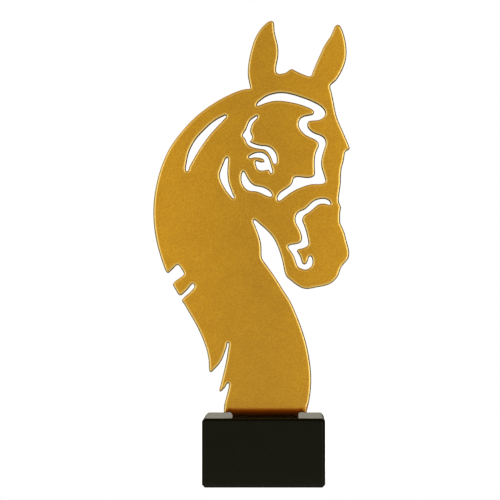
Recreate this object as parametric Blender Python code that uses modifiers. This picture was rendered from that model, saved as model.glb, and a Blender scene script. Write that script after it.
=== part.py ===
"""An equestrian trophy: a horse's head cut from one steel sheet, on a block of black stone.

The head is drawn flat, as a cutter's drawing, in smooth strokes. The drawn blank gets its
thickness and softened edges, and then its tab is folded back to make the foot.
Lengths are in metres. The front is -Y, and the origin is the middle of the block's underside.
"""
import math

import bmesh
import bpy
from mathutils import Vector

COLLECTION = "equestrian_trophy"

# The stone block
BLOCK_WIDTH = 0.0650
BLOCK_DEPTH = 0.0450
BLOCK_HEIGHT = 0.0365
BLOCK_CHAMFER = 0.0015

# The coated steel sheet and its folded foot
HEAD_HEIGHT = 0.2110        # from the block's top to the tip of the near ear, uncoated
SHEET_THICKNESS = 0.0030
COAT_THICKNESS = 0.00012    # what the powder coat adds to every cut edge
EDGE_SOFTENING = 0.0004
FOLD_RADIUS = 0.0050        # outside of the fold
TAB_WIDTH = 0.0356
SHOULDER_WIDTH = 0.0042     # what the neck stands out past the tab, on each side
SHOULDER_LIFT = 0.0024      # the shoulders end this far above the block
SHOULDER_FADE = 0.0040      # the fold's lean dies away over this much of a shoulder
DROP_FADE = 0.0010          # and its drop over this much
FOOT_LENGTH = 0.0240        # from the plate's front to the foot's back end
FOOT_CORNER_RADIUS = 0.0040
GLUE_LINE = 0.0003          # between the foot and the block

# Where the plate stands on the block
PLATE_SETBACK = 0.0117      # its front, behind the block's front
PLATE_OFFSET = 0.0007       # the tab's middle, right of the block's middle

# How finely the drawing and the fold are cut into facets
FACET_LENGTH = 0.0030
FACET_TURN = math.radians(16)
FOLD_FACETS = 9
FADE_FACETS = 4
DROP_FACETS = 2
CORNER_FACETS = 5
WELD_DISTANCE = 0.000005

# The drawing is in millimetres, x from the tab's middle and z from the block's top, at the
# height below. Each stroke is a smooth line through its points, and two strokes meet in a
# corner.
DRAWN_HEIGHT = 211.0

NECK_BACK = (
    (-21.8, 6.0), (-20.8, 10.0), (-19.9, 13.4), (-19.3, 16.4), (-19.25, 17.4), (-19.6, 17.95),
    (-20.1, 17.75), (-21.3, 16.0), (-22.6, 14.5), (-23.3, 13.75), (-23.9, 13.5), (-24.35, 13.9),
    (-24.3, 14.7), (-23.6, 17.3), (-22.9, 20.2), (-21.8, 24.7), (-20.8, 29.2), (-20.0, 34.0),
    (-19.4, 38.2), (-19.4, 39.1), (-19.8, 39.5), (-20.3, 39.0), (-20.6, 37.4), (-21.5, 34.6),
    (-23.1, 30.6), (-25.0, 27.6), (-27.2, 25.3), (-28.2, 24.3), (-28.9, 23.9), (-29.6, 24.2),
    (-29.85, 25.2), (-29.95, 28.7), (-31.0, 35.0), (-33.1, 41.2), (-36.1, 47.8), (-40.3, 55.2),
    (-43.0, 59.9), (-44.25, 62.1),
)
LOCK_SLOT = (
    (-44.25, 62.1), (-43.2, 63.5), (-40.6, 65.8), (-38.4, 68.1), (-37.65, 69.3), (-37.9, 70.4),
    (-38.75, 70.9), (-39.6, 70.3), (-41.3, 68.1), (-43.4, 66.0), (-44.7, 65.0), (-45.6, 64.85),
    (-46.3, 65.4), (-47.6, 67.6), (-48.8, 69.6), (-49.15, 70.5), (-48.7, 71.4), (-47.3, 72.65),
    (-45.0, 74.3), (-43.7, 75.4), (-43.3, 76.3), (-43.7, 77.4), (-44.7, 79.0), (-45.6, 80.4),
    (-46.7, 81.0), (-47.7, 80.6), (-49.0, 79.2), (-50.8, 77.5), (-51.5, 76.9), (-52.1, 76.8),
    (-52.7, 77.4), (-53.9, 80.1), (-56.1, 86.7), (-58.0, 94.1), (-59.2, 102.0), (-59.55, 109.5),
    (-59.1, 117.0), (-57.7, 125.0), (-54.9, 134.5), (-50.8, 143.3), (-44.5, 152.0),
    (-36.6, 160.3), (-28.0, 166.7), (-18.8, 171.8), (-12.4, 174.25), (-8.05, 175.0),
)
NEAR_EAR = (
    (-8.05, 175.0), (-8.3, 177.6), (-9.0, 180.8), (-9.15, 185.0), (-8.6, 190.0), (-7.4, 195.5),
    (-5.4, 201.6), (-2.8, 206.1), (0.2, 209.4), (2.3, 210.85), (3.5, 211.0), (4.4, 210.4),
    (4.7, 209.0), (4.85, 206.0), (5.7, 202.0), (6.6, 198.4), (6.95, 194.7), (6.7, 191.2),
    (6.0, 188.0), (5.7, 185.6), (5.85, 184.0), (6.5, 183.1), (7.6, 182.8), (9.3, 183.0),
    (11.0, 183.45), (12.4, 184.4), (13.4, 185.15), (14.3, 185.3), (15.6, 184.7), (18.8, 183.15),
    (21.6, 182.0), (23.4, 181.5), (24.5, 181.8), (25.1, 182.9),
)
FAR_EAR = (
    (25.1, 182.9), (27.2, 188.2), (29.2, 192.7), (31.3, 197.3), (33.2, 200.4), (35.1, 203.2),
    (36.5, 206.5), (37.5, 208.4), (38.6, 209.0), (39.8, 208.5), (40.7, 206.9), (41.9, 203.7),
    (42.9, 199.4), (43.3, 195.0), (43.0, 190.9), (41.6, 186.3), (39.6, 182.3), (37.5, 179.3),
    (35.9, 177.9), (34.9, 177.0), (34.6, 175.8),
)
FACE = (
    (34.6, 175.8), (35.6, 171.8), (36.6, 166.8), (37.5, 162.3), (38.8, 158.0), (40.8, 153.4),
    (43.0, 148.3), (44.6, 144.4), (44.95, 143.2), (44.5, 142.5), (43.4, 141.95), (42.6, 141.0),
    (42.15, 138.9), (41.8, 136.6), (40.8, 133.0), (40.35, 129.5), (40.2, 124.5), (39.6, 120.0),
    (39.15, 116.4), (39.2, 114.8), (39.8, 113.1), (40.35, 111.8), (40.15, 110.5), (39.9, 108.6),
    (39.85, 105.0), (40.0, 103.2), (40.8, 101.5), (42.1, 98.4), (43.4, 93.5), (44.5, 89.3),
    (44.75, 87.0), (44.3, 84.6), (42.6, 82.3), (40.7, 80.0), (39.8, 78.0), (39.0, 75.6),
    (37.6, 73.5), (35.1, 71.25), (31.9, 69.95), (27.4, 69.1), (24.6, 68.5), (22.4, 68.2),
    (20.0, 68.6), (17.4, 69.9), (14.1, 72.4), (11.8, 74.4), (10.8, 76.1), (10.3, 77.8),
    (9.5, 82.0), (8.2, 86.7), (6.6, 91.2), (4.2, 95.7), (0.8, 99.6), (-2.8, 102.75),
    (-5.2, 104.8), (-5.9, 105.1), (-6.3, 104.5), (-5.6, 102.3), (-4.4, 99.3), (-2.9, 94.8),
    (-2.15, 91.0), (-2.1, 87.0), (-1.9, 84.9), (-1.2, 83.4),
)
THROAT_AND_CHEST = (
    (-1.2, 83.4), (2.0, 79.0), (6.2, 72.9), (9.9, 66.9), (13.1, 61.9), (16.1, 55.4),
    (19.3, 47.2), (21.7, 39.5), (23.3, 32.0), (24.2, 25.0), (24.45, 19.5), (24.1, 13.4),
    (23.3, 7.9),
)

# The openings. One made of a single stroke is closed smoothly.
MANE_CUT = ((
    (-20.65, 160.2), (-21.2, 160.8), (-22.4, 160.4), (-26.6, 158.15), (-32.8, 152.8),
    (-37.8, 147.0), (-40.8, 140.9), (-42.1, 135.0), (-42.5, 132.0), (-42.1, 131.0),
    (-41.2, 131.0), (-40.6, 132.6), (-38.7, 136.3), (-35.0, 142.6), (-30.1, 149.5),
    (-25.3, 155.0), (-21.6, 158.9),
),)
BROW_AND_FACE_CUT = ((
    (-4.6, 166.3), (-4.2, 165.75), (-3.4, 165.95), (0.0, 167.2), (3.9, 168.25), (8.1, 168.45),
    (13.1, 167.75), (18.9, 166.4), (22.7, 165.0), (25.0, 163.8), (25.95, 162.7), (25.6, 161.5),
    (23.5, 160.75), (20.8, 160.2), (18.9, 159.1), (18.0, 157.4), (17.8, 155.4), (18.9, 153.0),
    (21.0, 150.7), (23.8, 149.05), (26.6, 147.75), (28.2, 146.1), (28.5, 144.6), (27.8, 142.7),
    (26.9, 140.5), (26.45, 137.75), (26.3, 133.5), (26.45, 129.9), (26.2, 128.8), (25.2, 128.0),
    (23.2, 127.5), (20.0, 127.7), (17.0, 127.95), (15.5, 127.5), (14.8, 126.3), (14.4, 124.8),
    (13.0, 123.0), (10.2, 121.0), (8.1, 119.5), (6.9, 117.9), (6.45, 116.3), (6.8, 115.4),
    (7.7, 115.2), (8.9, 115.9), (12.1, 118.4), (16.0, 120.85), (20.5, 122.75), (25.0, 123.95),
    (30.0, 124.15), (31.5, 124.6), (32.2, 125.6), (31.9, 127.3), (30.9, 130.5), (30.1, 133.5),
    (30.0, 136.8), (30.5, 139.4), (31.6, 143.0), (32.3, 145.6), (32.0, 147.6), (30.9, 149.15),
    (28.5, 150.35), (25.8, 151.45), (23.7, 153.1), (22.6, 154.9), (22.6, 156.4), (23.3, 157.5),
    (25.0, 157.85), (28.1, 158.15), (30.2, 158.9), (31.6, 160.2), (32.1, 161.7), (31.6, 163.5),
    (30.2, 165.15), (27.25, 167.1), (23.5, 168.85), (19.3, 170.4), (14.75, 171.85),
    (11.0, 172.65), (7.8, 172.8), (4.5, 172.3), (0.6, 170.95), (-2.5, 168.8), (-4.3, 166.95),
),)
EYEBROW_CUT = (
    (
        (-8.05, 146.85), (-7.2, 147.9), (-6.85, 149.3), (-7.4, 150.6), (-7.9, 152.0),
        (-7.6, 154.4), (-6.8, 156.3), (-5.6, 157.9), (-4.2, 159.5), (-4.1, 160.3),
        (-4.7, 160.4), (-5.9, 159.7), (-8.2, 157.85), (-9.3, 155.8), (-10.2, 153.4),
        (-11.6, 151.3), (-12.1, 150.1), (-11.6, 149.2), (-10.6, 148.0), (-9.95, 146.2),
        (-8.5, 144.55), (-6.1, 143.5), (-3.0, 142.85), (-0.3, 142.35), (1.6, 140.8),
        (3.3, 137.8), (4.3, 135.4), (4.8, 134.8), (5.6, 134.85), (6.15, 135.6), (6.25, 137.8),
        (5.75, 140.2), (4.4, 142.2), (2.7, 143.65), (0.5, 144.4), (-2.3, 144.6),
        (-5.0, 145.25), (-7.2, 146.2), (-8.05, 146.85),
    ),
)
EYE_CUT = (
    (
        (-0.5, 136.0), (-1.6, 135.8), (-3.0, 135.9), (-4.0, 136.35), (-4.9, 136.3),
        (-5.3, 135.5), (-4.9, 134.2), (-4.5, 132.8), (-3.5, 131.65), (-1.6, 131.2),
        (0.3, 131.5), (1.6, 131.65), (2.3, 131.1), (2.7, 130.3), (3.4, 129.8), (3.85, 130.4),
        (3.65, 132.2), (3.05, 134.3), (2.4, 136.6), (1.4, 138.6), (-0.2, 140.2), (-1.8, 140.9),
        (-3.6, 141.0), (-6.1, 140.4), (-8.2, 139.2), (-8.85, 138.5), (-8.4, 138.0),
        (-6.1, 138.2), (-4.0, 138.15), (-2.2, 137.85), (-1.1, 137.3), (-0.5, 136.0),
    ),
)
CHEEK_CUT = ((
    (-19.75, 137.6), (-20.2, 138.35), (-20.9, 137.9), (-22.3, 135.1), (-23.6, 131.9),
    (-24.35, 129.0), (-23.9, 126.6), (-22.5, 123.4), (-20.0, 119.5), (-17.8, 117.0),
    (-17.0, 116.35), (-16.6, 116.8), (-17.2, 118.4), (-18.4, 121.5), (-19.5, 124.8),
    (-20.0, 128.5), (-20.05, 132.0), (-19.8, 135.5),
),)
UNDER_EYE_CUT = ((
    (-11.3, 130.6), (-11.85, 130.75), (-12.4, 129.9), (-12.8, 127.4), (-12.5, 124.9),
    (-11.3, 122.6), (-9.3, 120.8), (-7.4, 120.3), (-5.4, 120.2), (-3.2, 119.6), (-0.4, 118.3),
    (1.6, 117.5), (2.9, 117.3), (3.75, 117.9), (3.5, 118.9), (1.9, 120.7), (-0.6, 122.15),
    (-3.0, 122.8), (-5.3, 123.2), (-7.5, 124.6), (-9.3, 127.1), (-10.6, 129.5),
),)
NOSTRIL_AND_MOUTH_CUT = ((
    (34.95, 113.5), (34.3, 112.9), (32.8, 113.3), (30.6, 113.6), (28.5, 113.15),
    (26.2, 111.4), (23.5, 109.1), (21.3, 107.8), (20.3, 106.6), (19.8, 104.9), (20.5, 102.9),
    (21.6, 99.8), (22.4, 96.8), (23.0, 93.6), (23.15, 92.1), (22.6, 91.15), (20.9, 90.1),
    (19.0, 89.55), (17.6, 89.2), (17.05, 88.5), (17.7, 87.2), (18.9, 84.9), (19.5, 83.0),
    (20.0, 81.8), (20.8, 81.3), (21.7, 81.6), (22.4, 82.6), (22.9, 84.2), (23.4, 85.3),
    (24.1, 85.65), (24.9, 84.9), (25.35, 83.0), (25.0, 80.8), (23.6, 79.2), (21.6, 78.4),
    (19.3, 78.9), (17.5, 80.0), (16.5, 82.2), (15.5, 85.1), (13.9, 87.9), (12.6, 89.6),
    (12.25, 90.7), (12.8, 91.35), (14.9, 91.9), (17.3, 92.35), (18.8, 93.1), (19.5, 94.5),
    (19.4, 96.8), (18.4, 99.6), (17.0, 102.2), (16.2, 104.2), (16.2, 106.4), (17.1, 108.4),
    (19.0, 109.8), (21.0, 110.6), (23.3, 112.7), (26.0, 115.05), (28.4, 116.0), (31.0, 116.3),
    (33.2, 115.8), (34.6, 114.6),
),)
OPENINGS = (
    MANE_CUT,
    BROW_AND_FACE_CUT,
    EYEBROW_CUT,
    EYE_CUT,
    CHEEK_CUT,
    UNDER_EYE_CUT,
    NOSTRIL_AND_MOUTH_CUT,
)

# The finishes: colour, roughness and metallic value
GOLD_COAT = ("gold_coat", (0.48, 0.23, 0.02), 0.42, 0.9)
BLACK_STONE = ("black_stone", (0.011, 0.011, 0.009), 0.30, 0.0)


def clear_scene():
    """Remove every object and collection that the file opened with."""
    for obj in list(bpy.data.objects):
        bpy.data.objects.remove(obj, do_unlink=True)
    for collection in list(bpy.data.collections):
        bpy.data.collections.remove(collection)


def make_material(finish):
    """A plain surface with the finish's name, colour, roughness and metallic value."""
    name, colour, roughness, metallic = finish
    material = bpy.data.materials.new(name)
    material.use_nodes = True
    shader = material.node_tree.nodes["Principled BSDF"]
    shader.inputs["Base Color"].default_value = (*colour, 1.0)
    shader.inputs["Roughness"].default_value = roughness
    shader.inputs["Metallic"].default_value = metallic
    material.diffuse_color = (*colour, 1.0)
    return material


def drawn(points):
    """The drawing's points at the head's real size."""
    scale = HEAD_HEIGHT / DRAWN_HEIGHT
    return [Vector((x * scale, z * scale)) for x, z in points]


def directions(points, closed):
    """The way a smooth line runs at each of its points, per metre of its length."""
    line = [points[-1], *points, points[0]] if closed else points
    slopes = []
    for before, here, after in zip(line, line[1:], line[2:]):
        arriving = (here - before).length
        leaving = (after - here).length
        slope_in = (here - before) / arriving
        slope_out = (after - here) / leaving
        slopes.append((slope_in * leaving + slope_out * arriving) / (arriving + leaving))
    if closed:
        return slopes
    first = 2 * (points[1] - points[0]).normalized() - slopes[0]
    last = 2 * (points[-1] - points[-2]).normalized() - slopes[-1]
    return [first, *slopes, last]


def smooth_stroke(points, closed=False):
    """Points along the smooth line through a stroke, with more of them where it turns."""
    slopes = directions(points, closed)
    count = len(points)
    spans = count if closed else count - 1
    line = []
    for i in range(spans):
        start, end = points[i], points[(i + 1) % count]
        leaving, arriving = slopes[i], slopes[(i + 1) % count]
        length = (end - start).length
        turn = leaving.angle(arriving)
        facets = max(1, math.ceil(length / FACET_LENGTH), math.ceil(turn / FACET_TURN))
        for k in range(facets):
            t = k / facets
            line.append(
                start * (2 * t**3 - 3 * t**2 + 1)
                + leaving * (length * (t**3 - 2 * t**2 + t))
                + end * (3 * t**2 - 2 * t**3)
                + arriving * (length * (t**3 - t**2))
            )
    if not closed:
        line.append(points[-1])
    return line


def joined(strokes):
    """One closed outline from strokes that meet end to end."""
    outline = []
    for stroke in strokes:
        outline.extend(stroke[:-1])
    return outline


def opening_outline(strokes):
    """The closed outline of an opening."""
    if strokes[0][0] != strokes[-1][-1]:
        return smooth_stroke(drawn(strokes[0]), closed=True)
    return joined([smooth_stroke(drawn(stroke)) for stroke in strokes])


def fold_height():
    """Where the fold begins, above the block's top."""
    return GLUE_LINE + FOLD_RADIUS


def middle_radius():
    """The fold's radius halfway through the sheet, where its length stays the same."""
    return FOLD_RADIUS - SHEET_THICKNESS / 2


def tab_end():
    """Where the unfolded tab ends, below the block's top."""
    return fold_height() - middle_radius() * math.pi / 2 - (FOOT_LENGTH - FOLD_RADIUS)


def corner_arc(centre, start_angle):
    """A quarter turn of the foot's rounded corner."""
    points = []
    for k in range(CORNER_FACETS + 1):
        angle = start_angle - math.pi / 2 * k / CORNER_FACETS
        points.append(centre + FOOT_CORNER_RADIUS * Vector((math.cos(angle), math.sin(angle))))
    return points


def root_height():
    """Where a shoulder meets the unfolded tab, so that its underside is level once folded."""
    turn = math.asin((fold_height() - SHOULDER_LIFT) / FOLD_RADIUS)
    return fold_height() - middle_radius() * turn


def tab_outline():
    """The unfolded tab from the right shoulder round to the left one."""
    half = TAB_WIDTH / 2
    inset = FOOT_CORNER_RADIUS
    level = tab_end() + inset
    shoulder = [
        Vector((half + SHOULDER_WIDTH, SHOULDER_LIFT)),
        Vector((half + DROP_FADE, SHOULDER_LIFT)),
        Vector((half, root_height())),
    ]
    tab = list(shoulder)
    tab.extend(corner_arc(Vector((half - inset, level)), 0.0))
    tab.extend(corner_arc(Vector((inset - half, level)), -math.pi / 2))
    tab.extend(Vector((-point.x, point.y)) for point in reversed(shoulder))
    return tab


def head_outline():
    """The whole blank's outer edge, clockwise from the left shoulder."""
    tab = tab_outline()
    back = smooth_stroke([tab[-1]] + drawn(NECK_BACK))
    front = smooth_stroke(drawn(THROAT_AND_CHEST) + [tab[0]])
    head = [smooth_stroke(drawn(stroke)) for stroke in (LOCK_SLOT, NEAR_EAR, FAR_EAR, FACE)]
    return joined([back, *head, front, tab])


def flat_blank():
    """The cut sheet with softened edges, its outline in X and Y and its front at the higher Z."""
    curve = bpy.data.curves.new("blank_outline", "CURVE")
    curve.dimensions = "2D"
    curve.fill_mode = "BOTH"
    curve.extrude = SHEET_THICKNESS / 2 - EDGE_SOFTENING
    curve.bevel_depth = EDGE_SOFTENING
    curve.bevel_resolution = 0
    curve.offset = COAT_THICKNESS - EDGE_SOFTENING
    for outline in [head_outline()] + [opening_outline(cut) for cut in OPENINGS]:
        spline = curve.splines.new("POLY")
        spline.points.add(len(outline) - 1)
        spline.use_cyclic_u = True
        for point, place in zip(spline.points, outline):
            point.co = (place.x, place.y, 0.0, 1.0)
    holder = bpy.data.objects.new("blank_outline", curve)
    bpy.context.scene.collection.objects.link(holder)
    evaluated = holder.evaluated_get(bpy.context.evaluated_depsgraph_get())
    mesh = bpy.data.meshes.new_from_object(evaluated)
    bpy.data.objects.remove(holder, do_unlink=True)
    bpy.data.curves.remove(curve)
    return mesh


def cut_along(blank, place, normal, limit=None):
    """Cut the blank's faces along a plane, all of them or those below a height."""
    faces = [
        face
        for face in blank.faces
        if limit is None or max(vert.co.y for vert in face.verts) <= limit + WELD_DISTANCE
    ]
    edges = {edge for face in faces for edge in face.edges}
    verts = {vert for face in faces for vert in face.verts}
    bmesh.ops.bisect_plane(
        blank,
        geom=[*verts, *edges, *faces],
        dist=WELD_DISTANCE,
        plane_co=place,
        plane_no=normal,
    )


def add_fold_lines(blank):
    """Cut the blank across the fold, and up through the part of each shoulder where it fades."""
    arc = middle_radius() * math.pi / 2
    for k in range(FOLD_FACETS + 1):
        height = fold_height() - arc * k / FOLD_FACETS
        cut_along(blank, (0.0, height, 0.0), (0.0, 1.0, 0.0))
    shares = [DROP_FADE * k / DROP_FACETS for k in range(DROP_FACETS)]
    shares += [SHOULDER_FADE * k / FADE_FACETS for k in range(1, FADE_FACETS + 1)]
    for side in (1, -1):
        for share in shares:
            across = side * (TAB_WIDTH / 2 + share)
            cut_along(blank, (across, 0.0, 0.0), (1.0, 0.0, 0.0), limit=fold_height())


def eased(share):
    """A smooth rise from 0 to 1."""
    share = min(1.0, max(0.0, share))
    return share * share * (3 - 2 * share)


def folded(flat):
    """Where a point of the blank lies once its tab is folded back."""
    depth = SHEET_THICKNESS / 2 - flat.z
    upright = Vector((flat.x, depth, flat.y))
    below = fold_height() - flat.y
    if below <= 0:
        return upright
    arc = middle_radius() * math.pi / 2
    turn = min(below, arc) / middle_radius()
    radius = FOLD_RADIUS - depth
    bent = Vector((
        flat.x,
        FOLD_RADIUS - radius * math.cos(turn) + max(0.0, below - arc),
        fold_height() - radius * math.sin(turn),
    ))
    outside = abs(flat.x) - TAB_WIDTH / 2
    return Vector((
        flat.x,
        bent.y + (upright.y - bent.y) * eased(outside / SHOULDER_FADE),
        bent.z + (upright.z - bent.z) * eased(outside / DROP_FADE),
    ))


def make_horse_plate(collection):
    """The gold-coated steel head, folded at its foot and standing on the block."""
    mesh = flat_blank()
    blank = bmesh.new()
    blank.from_mesh(mesh)
    bmesh.ops.remove_doubles(blank, verts=blank.verts, dist=WELD_DISTANCE)
    add_fold_lines(blank)
    for vert in blank.verts:
        vert.co = folded(vert.co)
    bmesh.ops.triangulate(blank, faces=blank.faces)
    bmesh.ops.recalc_face_normals(blank, faces=blank.faces)
    blank.to_mesh(mesh)
    blank.free()
    mesh.name = "horse_plate"
    mesh.shade_smooth()
    mesh.set_sharp_from_angle(angle=math.radians(30))
    mesh.materials.append(make_material(GOLD_COAT))
    plate = bpy.data.objects.new("horse_plate", mesh)
    plate.location = (PLATE_OFFSET, PLATE_SETBACK - BLOCK_DEPTH / 2, BLOCK_HEIGHT)
    collection.objects.link(plate)
    return plate


def make_base_block(collection):
    """The stone block, with the same chamfer on all its edges."""
    mesh = bpy.data.meshes.new("base_block")
    shape = bmesh.new()
    bmesh.ops.create_cube(shape, size=1.0)
    for vert in shape.verts:
        vert.co.x *= BLOCK_WIDTH
        vert.co.y *= BLOCK_DEPTH
        vert.co.z *= BLOCK_HEIGHT
    shape.to_mesh(mesh)
    shape.free()
    mesh.materials.append(make_material(BLACK_STONE))
    block = bpy.data.objects.new("base_block", mesh)
    block.location.z = BLOCK_HEIGHT / 2
    collection.objects.link(block)
    chamfer = block.modifiers.new("chamfer", "BEVEL")
    chamfer.offset_type = "WIDTH"
    chamfer.width = BLOCK_CHAMFER * math.sqrt(2)
    chamfer.segments = 1
    return block


def main():
    """Build the trophy."""
    clear_scene()
    collection = bpy.data.collections.new(COLLECTION)
    bpy.context.scene.collection.children.link(collection)
    make_base_block(collection)
    make_horse_plate(collection)


main()
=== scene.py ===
"""The looks of an equestrian trophy: a gold-coated horse's head that stands on black stone.

The head is one steel sheet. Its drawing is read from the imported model, drawn finer, given
rounded edges under the powder coat, and then its tab is folded back by a Geometry Nodes rule.
Lengths are in metres. The front is -Y, and the block stands on Z = 0.
"""
import logging
import math
from collections import defaultdict
from collections.abc import Iterable, Iterator
from dataclasses import dataclass, field
from enum import Enum
from typing import ClassVar

import bmesh
import bpy
import numpy as np
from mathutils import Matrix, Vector
from mathutils.geometry import delaunay_2d_cdt


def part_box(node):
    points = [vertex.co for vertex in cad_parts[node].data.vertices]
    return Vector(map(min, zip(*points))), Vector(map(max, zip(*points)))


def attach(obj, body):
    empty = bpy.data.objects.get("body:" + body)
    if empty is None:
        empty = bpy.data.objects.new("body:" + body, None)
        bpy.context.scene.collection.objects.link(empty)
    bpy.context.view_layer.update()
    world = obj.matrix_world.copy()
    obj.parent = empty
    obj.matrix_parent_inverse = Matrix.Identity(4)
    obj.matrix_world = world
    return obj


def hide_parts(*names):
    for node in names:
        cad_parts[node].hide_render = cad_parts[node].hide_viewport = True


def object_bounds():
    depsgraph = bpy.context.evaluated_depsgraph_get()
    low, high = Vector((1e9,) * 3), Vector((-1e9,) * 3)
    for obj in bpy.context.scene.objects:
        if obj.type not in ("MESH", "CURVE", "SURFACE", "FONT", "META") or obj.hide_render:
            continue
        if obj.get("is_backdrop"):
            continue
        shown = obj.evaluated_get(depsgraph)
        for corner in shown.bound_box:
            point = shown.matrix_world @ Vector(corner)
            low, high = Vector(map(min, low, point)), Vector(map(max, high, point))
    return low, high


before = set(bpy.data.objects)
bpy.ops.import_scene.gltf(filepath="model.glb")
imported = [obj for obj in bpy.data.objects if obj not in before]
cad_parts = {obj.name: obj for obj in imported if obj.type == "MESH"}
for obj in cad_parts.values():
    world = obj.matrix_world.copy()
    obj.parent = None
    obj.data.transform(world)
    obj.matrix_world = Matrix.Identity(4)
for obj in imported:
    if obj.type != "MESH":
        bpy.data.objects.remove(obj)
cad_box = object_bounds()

log = logging.getLogger("equestrian_trophy")

Colour = tuple[float, float, float]
Span = tuple[float, float]
Value = bpy.types.NodeSocket | bpy.types.ID | float | str | tuple[float, ...]

MILLIMETRES = 1000.0  # in a metre

# Across and up: the way that the best lit edges face.
LIT_WAY = (-0.6, 0.8)


class Sum(Enum):
    """The sums that a tree of nodes can do."""

    PLUS = "ADD"
    MINUS = "SUBTRACT"
    TIMES = "MULTIPLY"
    SHARE = "DIVIDE"
    LESSER = "MINIMUM"
    GREATER = "MAXIMUM"
    MORE = "GREATER_THAN"
    SIZE = "ABSOLUTE"
    SINE = "SINE"
    COSINE = "COSINE"


class Side(Enum):
    """A side of the trophy, as the sign of its X."""

    LEFT = -1.0
    RIGHT = 1.0


class Wiring:
    """Adds nodes to a tree and joins their sockets."""

    def __init__(self, tree: bpy.types.NodeTree) -> None:
        """Take a tree to work on.

        Args:
            tree: a shader tree or a Geometry Nodes tree.
        """
        self.tree = tree

    def feed(self, socket: bpy.types.NodeSocket, value: Value) -> None:
        """Join a socket to another one, or give it a value of its own.

        Args:
            socket: the input.
            value: an output to join, or the value to hold.
        """
        if isinstance(value, bpy.types.NodeSocket):
            self.tree.links.new(value, socket)
        else:
            socket.default_value = value

    def node(
        self,
        kind: str,
        inputs: dict[str, Value] | None = None,
        **settings: Value,
    ) -> bpy.types.Node:
        """Add a node.

        Args:
            kind: the node's type.
            inputs: what its named inputs get.
            settings: what its own settings are.

        Returns:
            The new node.
        """
        made = self.tree.nodes.new(kind)
        for name, value in settings.items():
            setattr(made, name, value)
        for name, value in (inputs or {}).items():
            self.feed(made.inputs[name], value)
        return made

    def sum(self, kind: Sum, *values: Value) -> bpy.types.NodeSocket:
        """Add a sum.

        Args:
            kind: which sum it is.
            values: the numbers or outputs that go in.

        Returns:
            The output with the result.
        """
        made = self.node("ShaderNodeMath", operation=kind.value)
        for socket, value in zip(made.inputs, values):
            self.feed(socket, value)
        return made.outputs[0]

    def weighed(self, first: Value, share: float, second: Value, rest: float) -> bpy.types.NodeSocket:
        """Add the sum of two numbers, each with a weight.

        Args:
            first: a number or an output.
            share: the weight of the first one.
            second: a number or an output.
            rest: the weight of the second one.

        Returns:
            The output with the result.
        """
        return self.sum(
            Sum.PLUS,
            self.sum(Sum.TIMES, first, share),
            self.sum(Sum.TIMES, second, rest),
        )

    def parts(self, vector: Value) -> bpy.types.bpy_prop_collection:
        """Take a vector apart.

        Args:
            vector: the output with the vector.

        Returns:
            The outputs with its X, Y and Z.
        """
        return self.node("ShaderNodeSeparateXYZ", {"Vector": vector}).outputs

    def ramp(self, value: Value, start: float, end: float) -> bpy.types.NodeSocket:
        """Add a smooth rise from 0 to 1.

        Args:
            value: what the rise follows.
            start: the value where it leaves 0.
            end: the value where it reaches 1.

        Returns:
            The output with the share.
        """
        inputs = {"Value": value, "From Min": start, "From Max": end}
        made = self.node("ShaderNodeMapRange", inputs, interpolation_type="SMOOTHSTEP")
        return made.outputs["Result"]

    def noise(self, place: Value, size: float, detail: float = 2.0) -> bpy.types.NodeSocket:
        """Add a soft random pattern.

        Args:
            place: the output with the place on the piece.
            size: how large the pattern's spots are, in metres.
            detail: how many finer patterns are laid over it.

        Returns:
            The output with a number around 0.5.
        """
        inputs = {"Vector": place, "Scale": 1.0 / size, "Detail": detail}
        return self.node("ShaderNodeTexNoise", inputs).outputs[0]

    def between(self, share: Value, first: Value, second: Value) -> bpy.types.NodeSocket:
        """Add a number between two.

        Args:
            share: 0 for the first number and 1 for the second.
            first: a number or an output.
            second: a number or an output.

        Returns:
            The output with the number.
        """
        made = self.node("ShaderNodeMix", data_type="FLOAT")
        for index, value in ((0, share), (2, first), (3, second)):
            self.feed(made.inputs[index], value)
        return made.outputs[0]

    def blend(self, share: Value, first: Value, second: Value) -> bpy.types.NodeSocket:
        """Add a colour between two.

        Args:
            share: 0 for the first colour and 1 for the second.
            first: a colour or an output.
            second: a colour or an output.

        Returns:
            The output with the colour.
        """
        made = self.node("ShaderNodeMix", data_type="RGBA")
        self.feed(made.inputs[0], share)
        for socket, value in ((made.inputs[6], first), (made.inputs[7], second)):
            self.feed(socket, (*value, 1.0) if isinstance(value, tuple) else value)
        return made.outputs[2]


def new_material(name: str) -> tuple[bpy.types.Material, Wiring, bpy.types.NodeSocket]:
    """Start a material.

    Args:
        name: the material's name.

    Returns:
        The material, its wiring, and the output with the place on the piece.
    """
    material = bpy.data.materials.new(name)
    material.use_nodes = True
    wiring = Wiring(material.node_tree)
    place = wiring.node("ShaderNodeTexCoord").outputs["Object"]
    return material, wiring, place


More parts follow.
